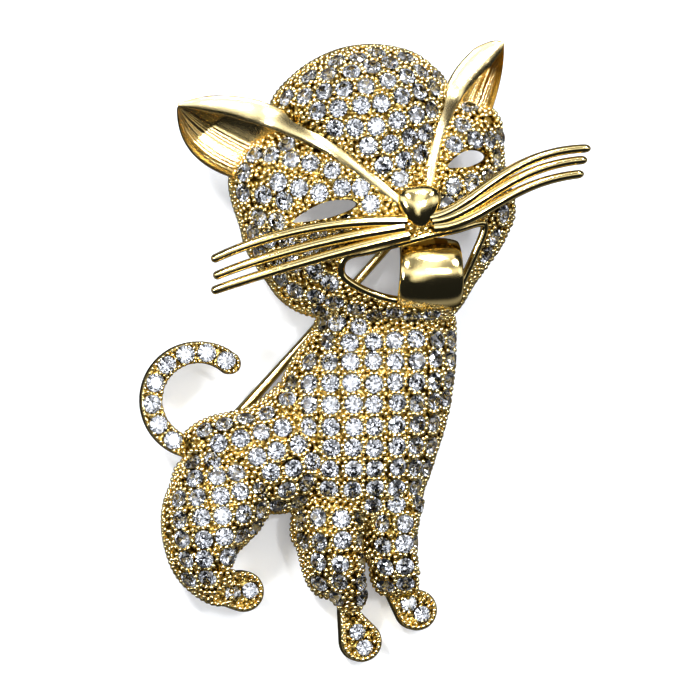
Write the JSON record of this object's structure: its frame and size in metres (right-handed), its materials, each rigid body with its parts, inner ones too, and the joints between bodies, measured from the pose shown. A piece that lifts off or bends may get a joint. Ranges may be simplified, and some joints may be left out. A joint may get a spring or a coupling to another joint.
{
  "type": "cat brooch",
  "caption": "Gold-toned cat brooch: a cast sitting cat set with small clear stones, with polished ears, whiskers and tongue, and a hinged pin and catch on its back.",
  "frame": {"origin": "middle of the plan, on the surface that the brooch lies on with its pin side down", "axes": "+X to the right of someone looking at the cat's face, +Y from the paws up to the ears, +Z out of the face, away from the cloth"},
  "size_m": [0.0355, 0.0498, 0.0114],
  "materials": {
    "gold": "polished, gold plated",
    "clear_stone": "faceted, clear",
    "fittings": "satin, gold plated"
  },
  "bodies": {
    "brooch": {"cat_frame": "gold", "head_stones": "clear_stone", "body_stones": "clear_stone", "tail_stone_1": "clear_stone", "tail_stone_2": "clear_stone", "tail_stone_3": "clear_stone", "tail_stone_4": "clear_stone", "tail_stone_5": "clear_stone", "tail_stone_6": "clear_stone", "tail_stone_7": "clear_stone", "tail_stone_8": "clear_stone", "paw_stone_1": "clear_stone", "paw_stone_2": "clear_stone", "paw_stone_3": "clear_stone", "paw_stone_4": "clear_stone", "paw_stone_5": "clear_stone", "paw_stone_6": "clear_stone", "pin_hinge": "fittings", "pin_rivet": "fittings", "pin_catch": "fittings"},
    "pin": {"pin_stem": "fittings"}
  },
  "joints": [
    {"name": "pin_swing", "type": "hinge", "parent": "brooch", "child": "pin", "pos_m": [-0.01178, -0.00751, 0.0011], "axis": [-0.7458, 0.6661, 0], "range_deg": [0, 70]}
  ]
}
